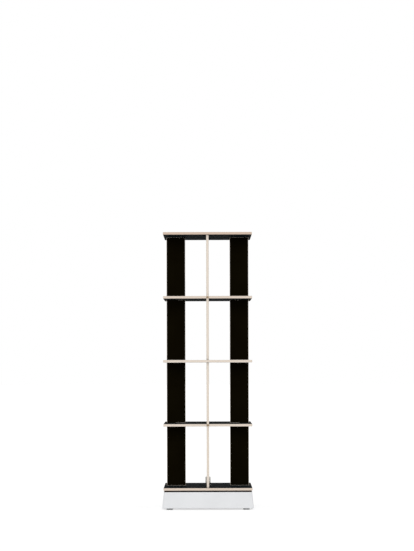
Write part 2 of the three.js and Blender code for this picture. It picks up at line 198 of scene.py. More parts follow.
def lofted(rings, closed=False, capped=False, number=0, cap_number=0):
    """Faces between rings that have equally many points, or one point each at an end on the axis."""
    starts, points = [], []
    for ring in rings:
        starts.append(len(points))
        points += ring
    count = max(len(ring) for ring in rings)
    faces = []
    for low in range(len(rings) if closed else len(rings) - 1):
        high = (low + 1) % len(rings)
        for step in range(count):
            corners = [(low, step), (low, step + 1), (high, step + 1), (high, step)]
            face = [starts[ring] + at % len(rings[ring]) for ring, at in corners]
            faces.append(list(dict.fromkeys(face)))
    numbers = [number] * len(faces)
    if capped:
        faces += [list(reversed(range(count))), list(range(starts[-1], starts[-1] + count))]
        numbers += [cap_number] * 2
    return Body(points, faces, numbers)


def turned(profile, steps, closed=False, number=0):
    """A body of revolution about Z. Each entry of the profile, which runs up the outside, is a radius
    and a height, or a function that gives them for an angle."""
    rings = []
    for entry in profile:
        if not callable(entry) and entry[0] == 0:
            rings.append([(0, 0, entry[1])])
            continue
        ring = []
        for step in range(steps):
            angle = 2 * math.pi * step / steps
            radius, height = entry(angle) if callable(entry) else entry
            ring.append((radius * math.cos(angle), radius * math.sin(angle), height))
        rings.append(ring)
    return lofted(rings, closed=closed, number=number)


def rounded(left, right, low, high, radius, height):
    """A ring of points round a rectangle with rounded corners."""
    centres = ((right, high, -1, -1), (left, high, 1, -1), (left, low, 1, 1), (right, low, -1, 1))
    ring = []
    for quarter, (x, y, inward_x, inward_y) in enumerate(centres):
        for step in range(CORNER_STEPS + 1):
            angle = (quarter + step / CORNER_STEPS) * math.pi / 2
            across = x + inward_x * radius + radius * math.cos(angle)
            along = y + inward_y * radius + radius * math.sin(angle)
            ring.append((across, along, height))
    return ring


def plate(left, right, low, high, corner, thickness, arris=ARRIS):
    """A board from z = 0 up, its arrises planed off. Its faces have material 0, its edges material 1."""
    lower = [(arris, 0), (0, arris)]
    upper = [(0, thickness - arris), (arris, thickness)]
    rings = [
        rounded(left + inset, right - inset, low + inset, high - inset, corner - inset, height)
        for inset, height in lower + upper
    ]
    return lofted(rings, capped=True, number=1)


def square_plate(half, corner, thickness):
    return plate(-half, half, -half, half, corner, thickness)


def box_ring(left, right, near, far, height):
    return [(left, near, height), (right, near, height), (right, far, height), (left, far, height)]


def block(low, high):
    """A box between two corners, to cut with."""
    rings = [box_ring(low[0], high[0], low[1], high[1], height) for height in (low[2], high[2])]
    return lofted(rings, capped=True, number=1, cap_number=1)


def flared_block(low, high, arris):
    """A box to cut with, through a board, that leaves an arris along its sides on both faces."""
    spreads = [(low[2], arris - low[2]), (0, arris), (arris, 0)]
    spreads += [(low[2] + high[2] - height, spread) for height, spread in reversed(spreads)]
    rings = [
        box_ring(low[0], high[0], low[1] - spread, high[1] + spread, height)
        for height, spread in spreads
    ]
    return lofted(rings, capped=True, number=1, cap_number=1)


def drill(radius, low, high, steps=HOLE_STEPS):
    """A round cutter along Z."""
    return turned([(0, low), (radius, low), (radius, high), (0, high)], steps, number=1)


def countersink(head, shank, depth, steps=HOLE_STEPS):
    """A cutter for a countersunk screw that points down from z = 0."""
    profile = [(0, -depth), (shank, -depth), (shank, shank - head), (head, 0)]
    profile += [(head, OVERRUN), (0, OVERRUN)]
    return turned(profile, steps, number=1)


def rounding(radius, steps=CORNER_STEPS):
    """How far in from the side, and up from the face, each point of a rounded edge stands."""
    angles = [math.pi / 2 * step / steps for step in range(steps + 1)]
    return [(radius * (1 - math.sin(angle)), radius * (1 - math.cos(angle))) for angle in angles]


def ring_profile(inner, outer, low, high, edge, upper=1, groove=()):
    """A bevelled ring whose lower face may have a groove, and whose upper outer bevel may be larger."""
    profile = [(inner, low + edge), (inner + edge, low), *groove, (outer - edge, low), (outer, low + edge)]
    profile += [(outer, high - upper * edge), (outer - upper * edge, high)]
    return profile + [(inner + edge, high), (inner, high - edge)]


def rippled(radius, depth, count, height):
    """An entry of a profile with as many shallow hollows round it as given."""
    return lambda angle: (radius - depth * (0.5 - 0.5 * math.cos(count * angle)), height)


def hexagon(flats, angle):
    """The radius of a hexagon's outline at an angle."""
    sixth = math.pi / 3
    return flats / 2 / math.cos((angle + sixth / 2) % sixth - sixth / 2)


def six_sided(flats, height):
    """An entry of a profile that is a hexagon."""
    return lambda angle: (hexagon(flats, angle), height)


UPSIDE_DOWN = Matrix.Rotation(math.pi, 4, "X")
FACING_FRONT = Matrix.Rotation(math.pi / 2, 4, "X")


def turn_of(index, extra=0.0):
    return Matrix.Rotation(index * math.pi / 2 + extra, 4, "Z")


def on_four_sides(body, extra=0.0):
    return together([body.moved(turn_of(index, extra)) for index in range(len(SIDES))])


def each_side(stem):
    """The names of the four nodes that differ by their side alone."""
    return [f"{stem}_{side}" for side in SIDES]


# Meshes and pieces


def mesh_of(name, body, materials):
    mesh = bpy.data.meshes.new(name)
    mesh.from_pydata(body.points, [], body.faces)
    for material in materials:
        mesh.materials.append(material)
    mesh.polygons.foreach_set("material_index", body.numbers)
    mesh.update()
    return mesh


def carved(mesh, cutter):
    """The mesh with a body cut out of it. Cut faces keep the cutter's material numbers."""
    scene = bpy.context.scene
    whole = bpy.data.objects.new("whole", mesh)
    tool = bpy.data.objects.new("tool", mesh_of("tool", cutter, mesh.materials))
    scene.collection.objects.link(whole)
    scene.collection.objects.link(tool)
    cut = whole.modifiers.new("cut", "BOOLEAN")
    cut.operation, cut.solver, cut.object = "DIFFERENCE", "EXACT", tool
    bpy.context.view_layer.update()
    evaluated = whole.evaluated_get(bpy.context.evaluated_depsgraph_get())
    result = bpy.data.meshes.new_from_object(evaluated)
    result.name = mesh.name
    for used in (whole, tool):
        old = used.data
        bpy.data.objects.remove(used)
        bpy.data.meshes.remove(old)
    return result


def piece(name, mesh, node, matrix=None):
    """Shows a mesh as a piece that stands for a CAD node and moves with it."""
    mesh.shade_smooth()
    mesh.set_sharp_from_angle(angle=SHARP_ANGLE)
    made = bpy.data.objects.new(name, mesh)
    bpy.context.scene.collection.objects.link(made)
    if matrix is not None:
        made.matrix_world = matrix
    weighted = made.modifiers.new("weighted", "WEIGHTED_NORMAL")
    weighted.keep_sharp = True
    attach(made, frame["nodes"][node]["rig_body"])
    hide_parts(node)


def middle(node):
    low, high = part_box(node)
    return (low + high) / 2


def size(node):
    low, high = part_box(node)
    return high - low


# Materials


class Look:
    """A material and short calls for the nodes that it is made of."""

    def __init__(self, name, **fixed):
        self.material = bpy.data.materials.new(name)
        self.material.use_nodes = True
        self.tree = self.material.node_tree
        self.shader = self.tree.nodes["Principled BSDF"]
        for socket, value in fixed.items():
            self.shader.inputs[socket.replace("_", " ")].default_value = value

    def put(self, socket, value):
        if isinstance(value, bpy.types.NodeSocket):
            self.tree.links.new(value, socket)
        else:
            socket.default_value = value

    def node(self, kind, **settings):
        made = self.tree.nodes.new(kind)
        for name, value in settings.items():
            setattr(made, name, value)
        return made

    def place(self, kind="Object"):
        return self.node("ShaderNodeTexCoord").outputs[kind]

    def split(self, vector):
        node = self.node("ShaderNodeSeparateXYZ")
        self.put(node.inputs[0], vector)
        return list(node.outputs)

    def math(self, operation, first, second=0.0):
        node = self.node("ShaderNodeMath", operation=operation)
        self.put(node.inputs[0], first)
        self.put(node.inputs[1], second)
        return node.outputs[0]

    def stretched(self, vector, scale):
        node = self.node("ShaderNodeVectorMath", operation="MULTIPLY")
        self.put(node.inputs[0], vector)
        self.put(node.inputs[1], scale)
        return node.outputs[0]

    def noise(self, vector, scale, detail=2.0, roughness=0.5):
        node = self.node("ShaderNodeTexNoise")
        settings = {"Vector": vector, "Scale": scale, "Detail": detail, "Roughness": roughness}
        for socket, value in settings.items():
            self.put(node.inputs[socket], value)
        return node.outputs["Fac"]

    def mixed(self, share, first, second):
        """Between two colours, or two vectors of three numbers."""
        node = self.node("ShaderNodeMix", data_type="RGBA", clamp_factor=True)
        for socket, value in zip((0, 6, 7), (share, first, second)):
            self.put(node.inputs[socket], value)
        return node.outputs[2]

    def ranged(self, value, low, high, to_low, to_high):
        node = self.node("ShaderNodeMapRange", clamp=True)
        for socket, number in zip(node.inputs[0:5], (value, low, high, to_low, to_high)):
            self.put(socket, number)
        return node.outputs[0]

    def set(self, socket, value):
        self.put(self.shader.inputs[socket], value)

    def bump(self, height, strength, distance):
        node = self.node("ShaderNodeBump")
        node.inputs["Strength"].default_value = strength
        node.inputs["Distance"].default_value = distance
        self.put(node.inputs["Height"], height)
        self.set("Normal", node.outputs["Normal"])


def colour(red, green, blue):
    """A colour in linear light."""
    return (red, green, blue, 1.0)


# The middle of a noise's values, narrower for colours than for roughness and grain
CLOUD_SPAN = 0.35, 0.65
NOISE_SPAN = 0.3, 0.7

# Two tones of each material, and for birch also its end grain, its glue lines and a darker, warmer wood,
# used as painted shade on the edges of the top and bottom boards
WARM_BLACK = colour(0.0045, 0.0031, 0.0008), colour(0.0057, 0.0042, 0.0013)
# Painted sheen: the boards' black is lighter and bluer than the panels' black, standing in for the grazing
# reflection on their level faces
BLACK_WITH_PAINTED_SHEEN = colour(0.0098, 0.0136, 0.0152), colour(0.0124, 0.0166, 0.0182)
BIRCH_PALE, BIRCH_DEEP = colour(0.87, 0.81, 0.74), colour(0.78, 0.7, 0.61)
BIRCH_END, BIRCH_GLUE = colour(0.67, 0.54, 0.42), colour(0.4, 0.28, 0.19)
BIRCH_WARM_SHADE = colour(0.62, 0.475, 0.37)
FILM_LIGHT, FILM_DARK = colour(0.19, 0.088, 0.034), colour(0.125, 0.055, 0.02)
BEECH_PALE, BEECH_DEEP = colour(0.66, 0.44, 0.25), colour(0.48, 0.29, 0.15)
COAT_WHITE = colour(0.752, 0.762, 0.776), colour(0.728, 0.738, 0.752)
ZINC = colour(0.6, 0.58, 0.545), colour(0.45, 0.435, 0.4)
BRONZED = colour(0.17, 0.115, 0.06), colour(0.26, 0.18, 0.10)
BLACKENED = colour(0.016, 0.015, 0.014), colour(0.03, 0.028, 0.026)
NATURAL_NYLON = colour(0.74, 0.70, 0.62), colour(0.66, 0.61, 0.52)
BLACK_NYLON = colour(0.012, 0.012, 0.013), colour(0.018, 0.018, 0.019)
RUBBER_GREY = colour(0.4, 0.405, 0.41), colour(0.48, 0.485, 0.49)


def plywood(name, thickness, facing, facing_colour, tone_and_shade=0.0):
    """Sawn edges of birch plywood that lies with its faces square to its own Z. Veneers run along X and
    Y in turn, so each shows long grain on two sides and end grain on the other two."""
    cloud_share, tone_share, end_share, glue_share, glue_half = 0.3, 0.35, 0.55, 0.7, 0.045
    look = Look(name, Specular_IOR_Level=0.3)
    place = look.place()
    z = look.split(place)[2]
    from_middle = look.math("ABSOLUTE", look.math("SUBTRACT", z, thickness / 2))
    faced = look.math("GREATER_THAN", from_middle, thickness / 2 - facing)
    core = thickness - 2 * facing
    veneers = 2 * round((core / VENEER - 1) / 2) + 1
    depth = look.math("DIVIDE", look.math("SUBTRACT", z, facing), core / veneers)
    layer = look.math("FLOOR", depth)
    odd = look.math("GREATER_THAN", look.math("PINGPONG", layer, 1.0), 0.5)
    along, across = 14.0, 1100.0
    grain_x = look.stretched(place, (along, across, across))
    grain_y = look.stretched(place, (across, along, across))
    fibre = look.noise(look.mixed(odd, grain_x, grain_y), 1.0, detail=4.0, roughness=0.6)
    cloud = look.noise(place, 22.0, detail=2.0)
    tone = look.node("ShaderNodeTexWhiteNoise", noise_dimensions="1D")
    look.put(tone.inputs["W"], layer)
    end_x, end_y = (look.math("ABSOLUTE", value) for value in look.split(look.place("Normal"))[:2])
    end = look.ranged(odd, 0, 1, end_x, end_y)
    wood = look.mixed(look.ranged(fibre, *NOISE_SPAN, 0, 1), BIRCH_DEEP, BIRCH_PALE)
    wood = look.mixed(look.ranged(cloud, *CLOUD_SPAN, 0, cloud_share), wood, BIRCH_PALE)
    wood = look.mixed(look.ranged(tone.outputs["Value"], 0, 1, 0, tone_share), wood, BIRCH_DEEP)
    wood = look.mixed(look.math("MULTIPLY", end, end_share), wood, BIRCH_END)
    # Painted shade: darkens the edge towards a warmer birch by the given share
    wood = look.mixed(tone_and_shade, wood, BIRCH_WARM_SHADE)
    glue = look.math("LESS_THAN", look.math("PINGPONG", depth, 0.5), glue_half)
    wood = look.mixed(look.math("MULTIPLY", glue, glue_share), wood, BIRCH_GLUE)
    look.set("Base Color", look.mixed(faced, wood, facing_colour))
    look.set("Roughness", look.ranged(fibre, 0.2, 0.8, 0.62, 0.48))
    look.bump(fibre, 0.12, 0.0004)
    return look.material


def clouded(name, scale, colours, roughness, grain, detail=3.0, **fixed):
    """Faint clouds between two colours and roughnesses, over a grain of some scale, strength and depth."""
    look = Look(name, **fixed)
    place = look.place()
    cloud = look.noise(place, scale, detail=detail)
    look.set("Base Color", look.mixed(look.ranged(cloud, *CLOUD_SPAN, 0, 1), *colours))
    look.set("Roughness", look.ranged(cloud, *NOISE_SPAN, *roughness))
    grain_scale, strength, depth = grain
    look.bump(look.noise(place, grain_scale), strength, depth)
    return look.material


def laminate(name, colours, gloss):
    """Matt black laminate, finely pebbled, with faint clouds where it has been handled."""
    pebble = 1500.0, 0.1, 0.0002
    return clouded(name, 9.0, colours, (0.6, 0.64), pebble, Specular_IOR_Level=gloss)


def brown_film():
    """The smooth phenolic film on the deck, over a grain that shows through it."""
    look = Look("brown_film", Specular_IOR_Level=0.02)
    place = look.place()
    grain = look.noise(look.stretched(place, (6.0, 160.0, 6.0)), 1.0, detail=3.0)
    speckle = look.noise(place, 900.0)
    look.set("Base Color", look.mixed(look.ranged(grain, *NOISE_SPAN, 0, 1), FILM_DARK, FILM_LIGHT))
    look.set("Roughness", look.ranged(speckle, *NOISE_SPAN, 0.38, 0.5))
    look.bump(speckle, 0.08, 0.0003)
    return look.material


def powder_coat():
    """Satin white powder coat with its slight orange peel."""
    look = Look("white_powder_coat", Specular_IOR_Level=0.4)
    place = look.place()
    peel = look.noise(place, 650.0, detail=1.0)
    cloud = look.noise(place, 7.0, detail=2.0)
    look.set("Base Color", look.mixed(look.ranged(cloud, *CLOUD_SPAN, 0, 1), *COAT_WHITE))
    look.set("Roughness", look.ranged(peel, *NOISE_SPAN, 0.4, 0.48))
    look.bump(peel, 0.08, 0.0003)
    return look.material


def zinc_steel():
    """Bright zinc plate: faintly clouded steel with the fine scratches of handling."""
    look = Look("zinc_steel", Metallic=1.0)
    place = look.place()
    cloud = look.noise(place, 160.0, detail=3.0)
    scratch = look.noise(look.stretched(place, (2600.0, 2600.0, 320.0)), 1.0, detail=2.0)
    look.set("Base Color", look.mixed(look.ranged(cloud, *CLOUD_SPAN, 0, 1), *ZINC))
    look.set("Roughness", look.ranged(cloud, *NOISE_SPAN, 0.26, 0.42))
    look.bump(scratch, 0.05, 0.0001)
    return look.material


def treated_steel(name, scale, colours, roughness):
    """Steel browned or blackened for use on wood, faintly blotched."""
    return clouded(name, scale, colours, roughness, (1500.0, 0.08, 0.0001), Metallic=1.0)


def nylon(name, colours):
    """Nylon, a little cloudy."""
    skin = 1800.0, 0.05, 0.0002
    return clouded(name, 120.0, colours, (0.38, 0.5), skin, detail=2.0, Specular_IOR_Level=0.3)


def rubber():
    """Grey moulded rubber, dusty on its skin."""
    look = Look("grey_rubber", Specular_IOR_Level=0.3)
    place = look.place()
    dust = look.noise(place, 260.0, detail=4.0)
    look.set("Base Color", look.mixed(look.ranged(dust, 0.4, 0.7, 0, 1), *RUBBER_GREY))
    look.set("Roughness", look.ranged(dust, *NOISE_SPAN, 0.7, 0.85))
    look.bump(look.noise(place, 2400.0), 0.15, 0.0002)
    return look.material


def beech():
    """Turned beech with its grain along the dowel."""
    look = Look("beech", Specular_IOR_Level=0.3)
    place = look.place()
    fibre = look.noise(look.stretched(place, (1500.0, 1500.0, 60.0)), 1.0, detail=3.0)
    look.set("Base Color", look.mixed(look.ranged(fibre, *NOISE_SPAN, 0, 1), BEECH_DEEP, BEECH_PALE))
    look.set("Roughness", look.ranged(fibre, *NOISE_SPAN, 0.6, 0.7))
    look.bump(fibre, 0.15, 0.0002)
    return look.material


BOARD_THICKNESS = size("top_board").z
DECK_THICKNESS = size("plinth_deck").z
BLOCK_HEIGHT = size("corner_block_front_left").z
# The boards' laminate has its grazing reflection painted into its colour, and its gloss is kept near
# nothing
BOARD_LAMINATE_WITH_PAINTED_SHEEN = laminate("board_laminate_with_painted_sheen", BLACK_WITH_PAINTED_SHEEN, gloss=0.0014)
PANEL_LAMINATE = laminate("panel_laminate", WARM_BLACK, gloss=0.002)

# How far the edge of each board, from the lowest up, goes from birch to a darker, warmer tone, mostly
# painted shade on the top and bottom boards
EDGE_TONE_AND_SHADE_SHARES = (0.42, 0.12, 0.05, 0.3, 0.9)


def faced_looks(name, faces, black, tone_and_shade):
    return [faces, plywood(f"{name}_edge", BOARD_THICKNESS, LAMINATE, black[0], tone_and_shade)]


# What each piece is made of: its faces first, then its edges and what is cut in it
BOARD_LOOKS = {
    name: faced_looks(name, BOARD_LAMINATE_WITH_PAINTED_SHEEN, BLACK_WITH_PAINTED_SHEEN, tone_and_shade)
    for name, tone_and_shade in zip(BOARDS, EDGE_TONE_AND_SHADE_SHARES)
}
PANEL_LOOKS = faced_looks("panel", PANEL_LAMINATE, WARM_BLACK, 0.0)
DECK_LOOKS = [brown_film(), plywood("deck_edge", DECK_THICKNESS, FILM, FILM_DARK)]
BLOCK_LOOKS = [plywood("block_wood", BLOCK_HEIGHT, 0, BIRCH_PALE)] * 2
STEEL_LOOKS = [zinc_steel()] * 2
BRONZE_LOOKS = [treated_steel("bronzed_steel", 420.0, BRONZED, (0.38, 0.5))]
BLACK_STEEL_LOOKS = [treated_steel("blackened_steel", 300.0, BLACKENED, (0.42, 0.55))]
COAT_LOOKS = [powder_coat()] * 2
NYLON_LOOKS = [nylon("natural_nylon", NATURAL_NYLON)] * 2
BLACK_NYLON_LOOKS = [nylon("black_nylon", BLACK_NYLON)]
RUBBER_LOOKS = [rubber()]
BEECH_LOOKS = [beech()]


# Boards


def slots_of_shelf(half, panel_outer, panel_inner):
    """The open slot in the middle of each edge of a shelf that crosses the panels, with a screw hole."""
    slot_half = BOARD_THICKNESS / 2 + FIT
    end = (panel_outer + panel_inner) / 2 - FIT / 2
    low = (-slot_half, -half - OVERRUN, -OVERRUN)
    slot = block(low, (slot_half, -end, BOARD_THICKNESS + OVERRUN))
    point = -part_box("crossing_screw_front_lower")[1].y
    hole = drill(SCREW_SHANKS["crossing"] + FIT, point - FIT, end + OVERRUN).moved(FACING_FRONT)
    return on_four_sides(slot + hole.at(0, 0, BOARD_THICKNESS / 2))


def holes_for(nodes, radius, low, high):
    """Drillings at the places of some nodes, between two heights over the board's underside."""
    return together([drill(radius, low, high).at(middle(node).x, middle(node).y) for node in nodes])


def cutters_of_board(name, half, panel_outer, panel_inner):
    """What is cut out of a board, drawn over its underside."""
    if name in SHELVES_WITH_SLOTS:
        return slots_of_shelf(half, panel_outer, panel_inner)
    base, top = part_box(name)[0].z, BOARD_THICKNESS + OVERRUN
    dowel = size("top_dowel_front").x / 2 + FIT
    if name == "middle_shelf":
        return holes_for(each_side("middle_dowel"), dowel, -OVERRUN, top)
    if name == "top_board":
        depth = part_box("top_dowel_front")[1].z - base + FIT
        return holes_for(each_side("top_dowel"), dowel, -OVERRUN, depth)
    screw = size("panel_screw_front")
    sink = countersink(screw.x / 2 + FIT, SCREW_SHANKS["panel"] + FIT, screw.z).moved(UPSIDE_DOWN)
    places = [middle(node) for node in each_side("panel_screw")]
    sinks = [sink.at(place.x, place.y, FIT) for place in places]
    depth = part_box("upper_race_screw_1")[1].z - base + FIT
    race_holes = holes_for(UPPER_RACE_SCREWS, SCREW_SHANKS["upper_race"] + FIT, -OVERRUN, depth)
    return together(sinks) + race_holes + drill(BUSH + FIT, -OVERRUN, top, STUD_STEPS)


def make_boards():
    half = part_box("top_board")[1].x
    panel_low, panel_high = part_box("lower_panel_right")
    for name in BOARDS:
        mesh = mesh_of(name, square_plate(half, BOARD_CORNER, BOARD_THICKNESS), BOARD_LOOKS[name])
        mesh = carved(mesh, cutters_of_board(name, half, panel_high.x, panel_low.x))
        piece(f"{name}_plywood", mesh, name, Matrix.Translation((0, 0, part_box(name)[0].z)))


# Panels, drawn lying down: distance from the axis along X, height along Y, thickness along Z


STANDING_ON_FRONT = Matrix(((0, 0, -1, 0), (-1, 0, 0, 0), (0, 1, 0, 0), (0, 0, 0, 1)))


def upright_drill(distance, radius, low, high):
    """A cutter along the panel's height, in the middle of its thickness."""
    lying = drill(radius, low, high).moved(Matrix.Rotation(-math.pi / 2, 4, "X"))
    return lying.at(distance, 0, BOARD_THICKNESS / 2)


def panel_mesh(level, shelf, low_node, high_node):
    """A panel of one level, cut where it crosses its shelf and drilled for the fixings at its ends."""
    low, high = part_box(f"{level}_panel_front")
    outer, inner, length = -low.y, -high.y, high.z - low.z
    body = plate(inner, outer, 0, length, PANEL_CORNER, BOARD_THICKNESS, PANEL_ARRIS)
    shelf_low, shelf_high = (corner.z - low.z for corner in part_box(shelf))
    slot = flared_block(
        (inner - OVERRUN, shelf_low - FIT, -OVERRUN),
        ((outer + inner) / 2 + FIT / 2, shelf_high + FIT, BOARD_THICKNESS + OVERRUN),
        PANEL_ARRIS,
    )
    hole = drill(SCREW_SHANKS["crossing"] + FIT, (outer + inner) / 2 - OVERRUN, outer + OVERRUN)
    hole = hole.moved(Matrix.Rotation(math.pi / 2, 4, "Y"))
    cutters = [slot, hole.at(0, (shelf_low + shelf_high) / 2, BOARD_THICKNESS / 2)]
    for node, at_top in ((low_node, False), (high_node, True)):
        node_low, node_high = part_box(node)
        radius = SCREW_SHANKS["panel"] if "screw" in node else (node_high.x - node_low.x) / 2
        ends = (node_low.z - low.z, length + OVERRUN) if at_top else (-OVERRUN, node_high.z - low.z)
        cutters.append(upright_drill(-middle(node).y, radius + FIT, *ends))
    return carved(mesh_of(f"{level}_panel", body, PANEL_LOOKS), together(cutters))


def make_panels():
    dowel = "middle_dowel_front"
    meshes = {
        "lower": panel_mesh("lower", "lower_shelf", "panel_screw_front", dowel),
        "upper": panel_mesh("upper", "upper_shelf", dowel, "top_dowel_front"),
    }
    centred = Matrix.Translation((0, 0, -BOARD_THICKNESS / 2))
    for level, mesh in meshes.items():
        for index, side in enumerate(SIDES):
            node = f"{level}_panel_{side}"
            lifted = Matrix.Translation((0, 0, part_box(node)[0].z))
            piece(f"{node}_plywood", mesh, node, turn_of(index) @ lifted @ STANDING_ON_FRONT @ centred)


# Dowels and screws


CHEESE_HEAD_HEIGHT = 0.004
CHEESE_HEAD_ROUND = 0.0008
CHEESE_HEAD_STEPS = 3
SOCKET_FLATS = 0.005
SOCKET_DEPTH = 0.0024
THREAD_GAP = 0.0001
FLUTES = 12
FLUTE_DEPTH = 0.00025
DOWEL_BEVEL = 0.0008
DOWEL_END_STEPS = 3

# Shares of a screw's shank: depth of the thread, and length and bevel of the point
THREAD_DEPTH = 0.3
POINT_LENGTH = 1.6
POINT_BEVEL = 0.5

# Radius at the bevel of the point, as a share of the thread's core
POINT_RADIUS = 0.35

# Shares of a countersunk head: its band, its chamfer, and its socket's radius and depth
HEAD_BAND = 0.08
HEAD_CHAMFER = 0.06
HEAD_SOCKET = 0.46
HEAD_SOCKET_DEPTH = 0.42

# Shares of that socket: its mouth, its foot, the point of its floor, and how far its lobes stand out
SOCKET_MOUTH = 1.06
SOCKET_FOOT = 0.94
SOCKET_POINT = 1.15
LOBE = 0.14

# The round mouth of a hexagon socket and the bevel under its head, as shares of its flats and rounding
ROUND_MOUTH = 0.62
UNDER_BEVEL = 0.3


def six_lobed(radius, height):
    """An entry of a profile with six lobes, as in a screw's socket."""
    return lambda angle: (radius * (1 + LOBE * math.cos(6 * angle)), height)


def dowel_mesh(radius, length):
    """A fluted dowel from z = 0 up, its ends rounded over."""
    lower = rounding(DOWEL_BEVEL, DOWEL_END_STEPS)
    upper = [(inset, length - height) for inset, height in reversed(lower)]
    sides = [rippled(radius - inset, FLUTE_DEPTH, FLUTES, height) for inset, height in lower + upper]
    return mesh_of("dowel", turned([(0, 0), *sides, (0, length)], RIPPLE_STEPS * FLUTES), BEECH_LOOKS)


def make_dowels():
    for level in ("middle", "top"):
        sample = size(f"{level}_dowel_front")
        mesh = dowel_mesh(sample.x / 2, sample.z)
        for node in each_side(f"{level}_dowel"):
            place = middle(node)
            place.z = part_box(node)[0].z
            piece(f"{node}_fluted", mesh, node, Matrix.Translation(place))


def thread(radius, pitch, low, high, depth):
    """Rings of a screw thread of one start, whose crests fade in and out over a turn at its ends."""
    rows = math.ceil((high - low) / pitch * THREAD_ROWS)

    def ring(row):
        height = low + (high - low) * row / rows
        fade = min(1.0, (height - low) / pitch, (high - height) / pitch)

        def at(angle):
            turn = (height / pitch - angle / (2 * math.pi)) % 1
            return radius - depth * (1 - fade * (1 - abs(2 * turn - 1))), height

        return at

    return [ring(row) for row in range(rows + 1)]


def threaded_shank(kind, length):
    """A screw's profile from its point to the end of its thread."""
    shank = SCREW_SHANKS[kind]
    depth = THREAD_DEPTH * shank
    core, tip = shank - depth, length - POINT_LENGTH * shank
    profile = [(0, -length), (POINT_RADIUS * core, -length + POINT_BEVEL * shank), (core, -tip)]
    return profile + thread(shank, SCREW_PITCHES[kind], -tip + THREAD_GAP, -PLAIN_SHANKS[kind], depth)


def screw_mesh(kind, head, length):
    """A countersunk screw along Z with its head up at z = 0 and a six-lobed socket."""
    shank = SCREW_SHANKS[kind]
    core = shank - THREAD_DEPTH * shank
    neck, rim = head * HEAD_BAND, head - head * HEAD_CHAMFER
    socket, floor = head * HEAD_SOCKET, -head * HEAD_SOCKET_DEPTH
    profile = threaded_shank(kind, length)
    profile += [(core, shank - head - neck), (shank, shank - head), (head, -neck), (rim, 0)]
    profile += [six_lobed(SOCKET_MOUTH * socket, 0), six_lobed(socket, floor / 8)]
    profile += [six_lobed(SOCKET_FOOT * socket, floor), (0, SOCKET_POINT * floor)]
    return mesh_of(f"{kind}_screw", turned(profile, SCREW_STEPS), STEEL_LOOKS)


def crossing_mesh(head, length):
    """A cheese-head screw along Z, seated at z = 0, with its head up and a hexagon socket in it."""
    shank, top, plain = SCREW_SHANKS["crossing"], CHEESE_HEAD_HEIGHT, PLAIN_SHANKS["crossing"]
    core = shank - THREAD_DEPTH * shank
    round_over, floor = CHEESE_HEAD_ROUND, top - SOCKET_DEPTH
    bevel = UNDER_BEVEL * round_over
    edge = [(head - rise, top - inset) for inset, rise in rounding(round_over, CHEESE_HEAD_STEPS)]
    profile = threaded_shank("crossing", length)
    profile += [(core, -plain + shank / 2), (core, 0), (head - bevel, 0), (head, bevel), *edge]
    profile += [(SOCKET_FLATS * ROUND_MOUTH, top), six_sided(SOCKET_FLATS, top - round_over / 4)]
    profile += [six_sided(SOCKET_FLATS, floor), (0, floor - round_over / 2)]
    return mesh_of("crossing_screw", turned(profile, STUD_STEPS), BRONZE_LOOKS)


def make_crossing_screws():
    low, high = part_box("crossing_screw_front_lower")
    seat = -low.y - CHEESE_HEAD_HEIGHT
    mesh = crossing_mesh((high.x - low.x) / 2, seat + high.y)
    for index, side in enumerate(SIDES):
        for level in ("lower", "upper"):
            node = f"crossing_screw_{side}_{level}"
            place = Matrix.Translation((0, -seat, middle(node).z)) @ FACING_FRONT
            piece(f"{node}_threaded", mesh, node, turn_of(index) @ place)


def make_screws():
    groups = {
        "panel": each_side("panel_screw"),
        "upper_race": UPPER_RACE_SCREWS,
        "lower_race": LOWER_RACE_SCREWS,
    }
    for kind, nodes in groups.items():
        mesh = screw_mesh(kind, size(nodes[0]).x / 2, size(nodes[0]).z)
        for node in nodes:
            place = middle(node)
            down = kind == "lower_race"
            place.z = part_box(node)[1 if down else 0].z
            facing = Matrix.Identity(4) if down else UPSIDE_DOWN
            piece(f"{node}_threaded", mesh, node, Matrix.Translation(place) @ facing)


# Plinth


def skirt_half(height):
    """Half the outer side of the skirt at a height over the floor."""
    low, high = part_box("plinth_skirt")
    share = (height - low.z) / (high.z - low.z)
    return high.x + (SKIRT_TOP_HALF - high.x) * share


def skirt_ring(inset, height):
    half = skirt_half(height) - inset
    return rounded(-half, half, -half, half, max(PLINTH_CORNER - inset, PLINTH_LEAST_CORNER), height)


def floor_ring(inset, height):
    """The floor's opening, which runs straight across each corner, with as many points as the skirt."""
    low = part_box("plinth_skirt")[0]
    block_inner = -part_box("corner_block_front_left")[1].x
    half = -low.x - SHEET - FLANGE - inset
    cut = 2 * block_inner - half - 2 * inset
    ring = []
    for quarter in range(4):
        turn = Matrix.Rotation(quarter * math.pi / 2, 4, "Z")
        for step in range(CORNER_STEPS + 1):
            share = step / CORNER_STEPS
            across, along = half + (cut - half) * share, cut + (half - cut) * share
            ring.append(tuple(turn @ Vector((across, along, height))))
    return ring


def skirt_mesh():
    """Four leaning walls of one folded sheet, with a bend at the foot and a flange that turns in."""
    base, top = (corner.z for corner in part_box("plinth_skirt"))
    foot = [(inset, base + rise) for inset, rise in rounding(BEND)]
    inner = [(SHEET + inset, base + SHEET + rise) for inset, rise in rounding(BEND - SHEET)]
    edge, cut = SHEET_EDGE, SHEET_EDGE * EDGE_CUT
    outline = [*foot, (0, top - edge), (cut, top - cut), (edge, top), (SHEET - edge, top)]
    outline += [(SHEET - cut, top - cut), (SHEET, top - edge), *reversed(inner)]
    rings = [skirt_ring(*place) for place in outline]
    rings += [floor_ring(-edge, base + SHEET), floor_ring(0, base + SHEET - edge)]
    rings += [floor_ring(0, base + edge), floor_ring(-edge, base)]
    mesh = mesh_of("skirt", lofted(rings, closed=True), COAT_LOOKS)
    studs = [middle(f"foot_{corner}") for corner in CORNERS]
    holes = [drill(STUD_HOLE, base - OVERRUN, base + SHEET + FIT).at(stud.x, stud.y) for stud in studs]
    return carved(mesh, together(holes))


